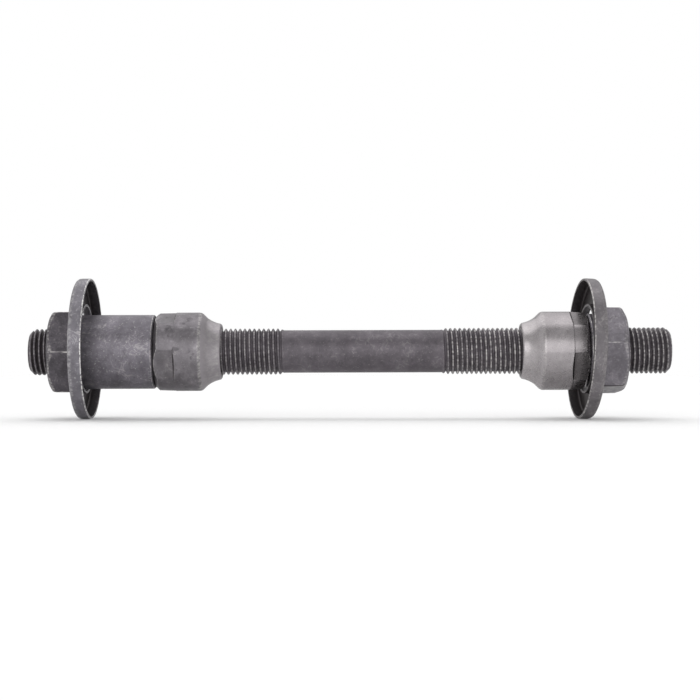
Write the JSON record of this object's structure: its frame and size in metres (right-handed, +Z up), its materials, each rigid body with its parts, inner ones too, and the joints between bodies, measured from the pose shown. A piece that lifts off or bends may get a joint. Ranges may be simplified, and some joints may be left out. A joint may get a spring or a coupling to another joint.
{
  "type": "hub axle",
  "caption": "Hollow threaded rear hub axle carrying bearing cones, spacers, hexagon locknuts and loose pressed dust caps.",
  "frame": {"origin": "middle of the axle's length, on its axis", "axes": "+X along the axle towards the end with the short spacer, +Z up as in the picture, viewed along +Y"},
  "size_m": [0.135, 0.0298, 0.0299],
  "materials": {
    "axle_steel": "black oxide, worn bright on the thread crests",
    "left_cone_steel": "turned, heat-stained, ground race",
    "right_cone_steel": "satin ground",
    "spacer_steel": "dull grey, scuffed",
    "left_nut_steel": "black oxide, bright on the edges",
    "right_nut_steel": "dark grey, bright on the edges",
    "cap_steel": "dull pressed sheet, worn lip"
  },
  "bodies": {
    "axle": {"axle": "axle_steel"},
    "left_dust_cap": {"left_dust_cap": "cap_steel"},
    "left_locknut": {"left_locknut": "left_nut_steel"},
    "left_spacer": {"left_spacer": "spacer_steel"},
    "left_cone": {"left_cone": "left_cone_steel"},
    "right_spacer": {"right_spacer": "spacer_steel"},
    "right_cone": {"right_cone": "right_cone_steel"},
    "right_dust_cap": {"right_dust_cap": "cap_steel"},
    "right_locknut": {"right_locknut": "right_nut_steel"}
  },
  "joints": [
    {"name": "left_locknut_travel", "type": "slide", "parent": "axle", "child": "left_dust_cap", "axis": [1, 0, 0], "range_m": [-0.0045, 0]},
    {"name": "left_locknut_turn", "type": "hinge", "parent": "left_dust_cap", "child": "left_locknut", "pos_m": [-0.0575, 0, 0], "axis": [1, 0, 0], "range_deg": [-1620, 0]},
    {"name": "left_cone_travel", "type": "slide", "parent": "axle", "child": "left_spacer", "axis": [1, 0, 0], "range_m": [0, 0.012]},
    {"name": "left_cone_turn", "type": "hinge", "parent": "left_spacer", "child": "left_cone", "pos_m": [-0.0411, 0, 0], "axis": [1, 0, 0], "range_deg": [0, 4320]},
    {"name": "right_cone_travel", "type": "slide", "parent": "axle", "child": "right_spacer", "axis": [1, 0, 0], "range_m": [-0.015, 0]},
    {"name": "right_cone_turn", "type": "hinge", "parent": "right_spacer", "child": "right_cone", "pos_m": [0.0501, 0, 0], "axis": [1, 0, 0], "range_deg": [-5400, 0]},
    {"name": "right_locknut_travel", "type": "slide", "parent": "axle", "child": "right_dust_cap", "axis": [1, 0, 0], "range_m": [0, 0.0095]},
    {"name": "right_locknut_turn", "type": "hinge", "parent": "right_dust_cap", "child": "right_locknut", "pos_m": [0.0525, 0, 0], "axis": [1, 0, 0], "range_deg": [0, 3420]}
  ],
  "couplings": [
    {"joint": "left_locknut_turn", "follows": "left_locknut_travel", "rad_per_m": 6283.2},
    {"joint": "left_cone_turn", "follows": "left_cone_travel", "rad_per_m": 6283.2},
    {"joint": "right_cone_turn", "follows": "right_cone_travel", "rad_per_m": 6283.2},
    {"joint": "right_locknut_turn", "follows": "right_locknut_travel", "rad_per_m": 6283.2}
  ]
}
